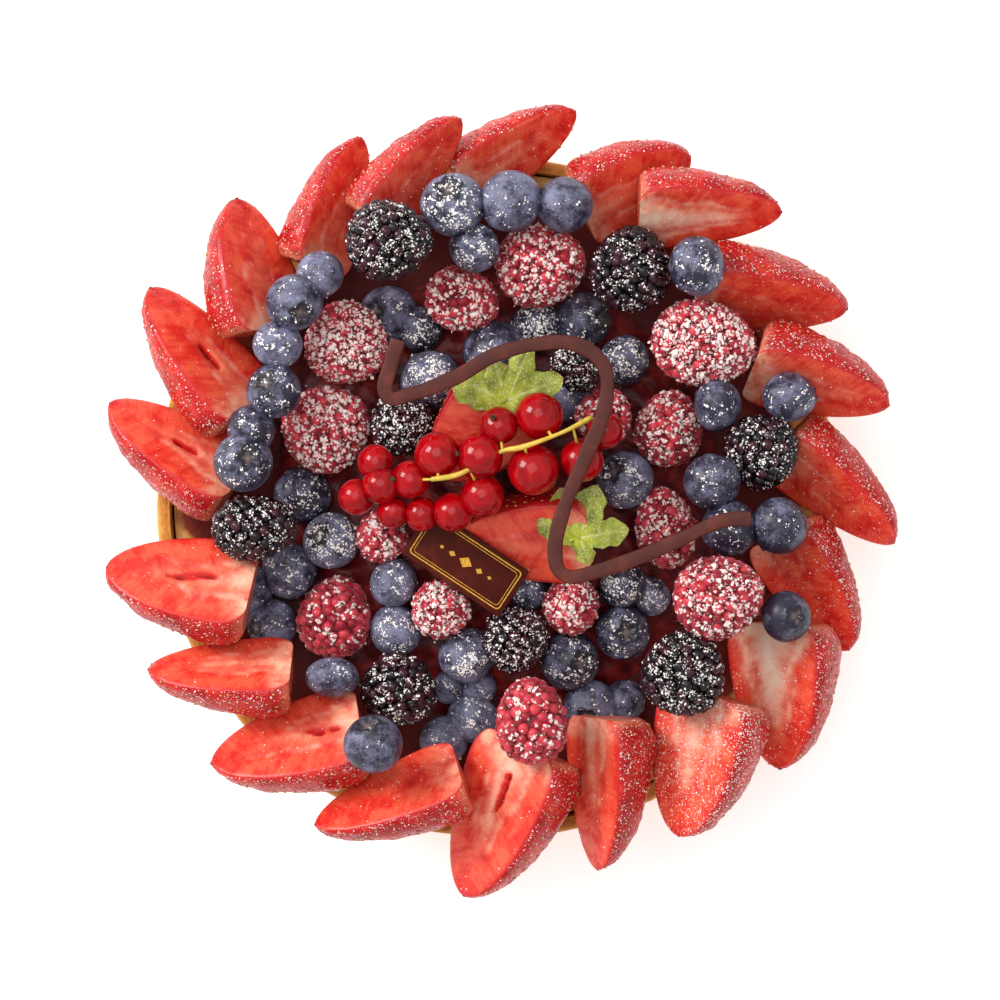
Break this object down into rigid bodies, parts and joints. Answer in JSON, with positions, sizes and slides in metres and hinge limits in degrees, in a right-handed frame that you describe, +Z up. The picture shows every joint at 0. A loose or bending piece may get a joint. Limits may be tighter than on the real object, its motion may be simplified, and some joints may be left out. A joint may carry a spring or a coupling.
{
  "type": "fruit crostata",
  "caption": "Round shortcrust tart filled with custard, ringed with strawberry halves and heaped with mixed berries, a redcurrant sprig and chocolate trim.",
  "frame": {"origin": "centre of the shell's flat underside", "axes": "+Z up through the tart, +Y to the back of the picture's view"},
  "size_m": [0.2061, 0.2063, 0.0683],
  "materials": {
    "shortcrust": "baked shortcrust pastry, golden brown, matt and sandy",
    "custard": "smooth baked custard under a thin glaze",
    "strawberry": "wet cut flesh and seeded red skin, dusted with icing sugar",
    "blueberry": "dark blue skin with pale bloom and icing sugar",
    "raspberry": "soft red drupelets with dense icing sugar",
    "bramble": "glossy black drupelets with icing sugar",
    "redcurrant": "thin shiny translucent red skin",
    "chocolate": "set dark chocolate, satin, with a thin gold border line on the plaque"
  },
  "bodies": {
    "root": {"strawberry_01": "strawberry", "strawberry_02": "strawberry", "strawberry_03": "strawberry", "strawberry_04": "strawberry", "strawberry_05": "strawberry", "strawberry_06": "strawberry", "strawberry_07": "strawberry", "strawberry_08": "strawberry", "strawberry_09": "strawberry", "strawberry_10": "strawberry", "strawberry_11": "strawberry", "strawberry_12": "strawberry", "strawberry_13": "strawberry", "strawberry_14": "strawberry", "strawberry_15": "strawberry", "strawberry_16": "strawberry", "strawberry_17": "strawberry", "strawberry_18": "strawberry", "strawberry_19": "strawberry", "strawberry_20": "strawberry", "raspberry_01": "raspberry", "raspberry_02": "raspberry", "raspberry_03": "raspberry", "raspberry_04": "raspberry", "raspberry_05": "raspberry", "raspberry_06": "raspberry", "raspberry_07": "raspberry", "raspberry_08": "raspberry", "raspberry_09": "raspberry", "raspberry_10": "raspberry", "raspberry_11": "raspberry", "raspberry_12": "raspberry", "raspberry_13": "raspberry", "raspberry_14": "raspberry", "bramble_01": "bramble", "bramble_02": "bramble", "bramble_03": "bramble", "bramble_04": "bramble", "bramble_05": "bramble", "bramble_06": "bramble", "bramble_07": "bramble", "bramble_08": "bramble", "bramble_09": "bramble", "blueberry_01": "blueberry", "blueberry_02": "blueberry", "blueberry_03": "blueberry", "blueberry_04": "blueberry", "blueberry_05": "blueberry", "blueberry_06": "blueberry", "blueberry_heap": "blueberry", "blueberry_row_left": "blueberry", "blueberry_row_back": "blueberry", "blueberry_row_right": "blueberry", "top_strawberry_left": "strawberry", "top_strawberry_right": "strawberry", "redcurrant_sprig": "redcurrant", "chocolate_ribbon": "chocolate", "chocolate_plaque": "chocolate", "crust": "shortcrust", "custard": "custard"}
  },
  "joints": []
}
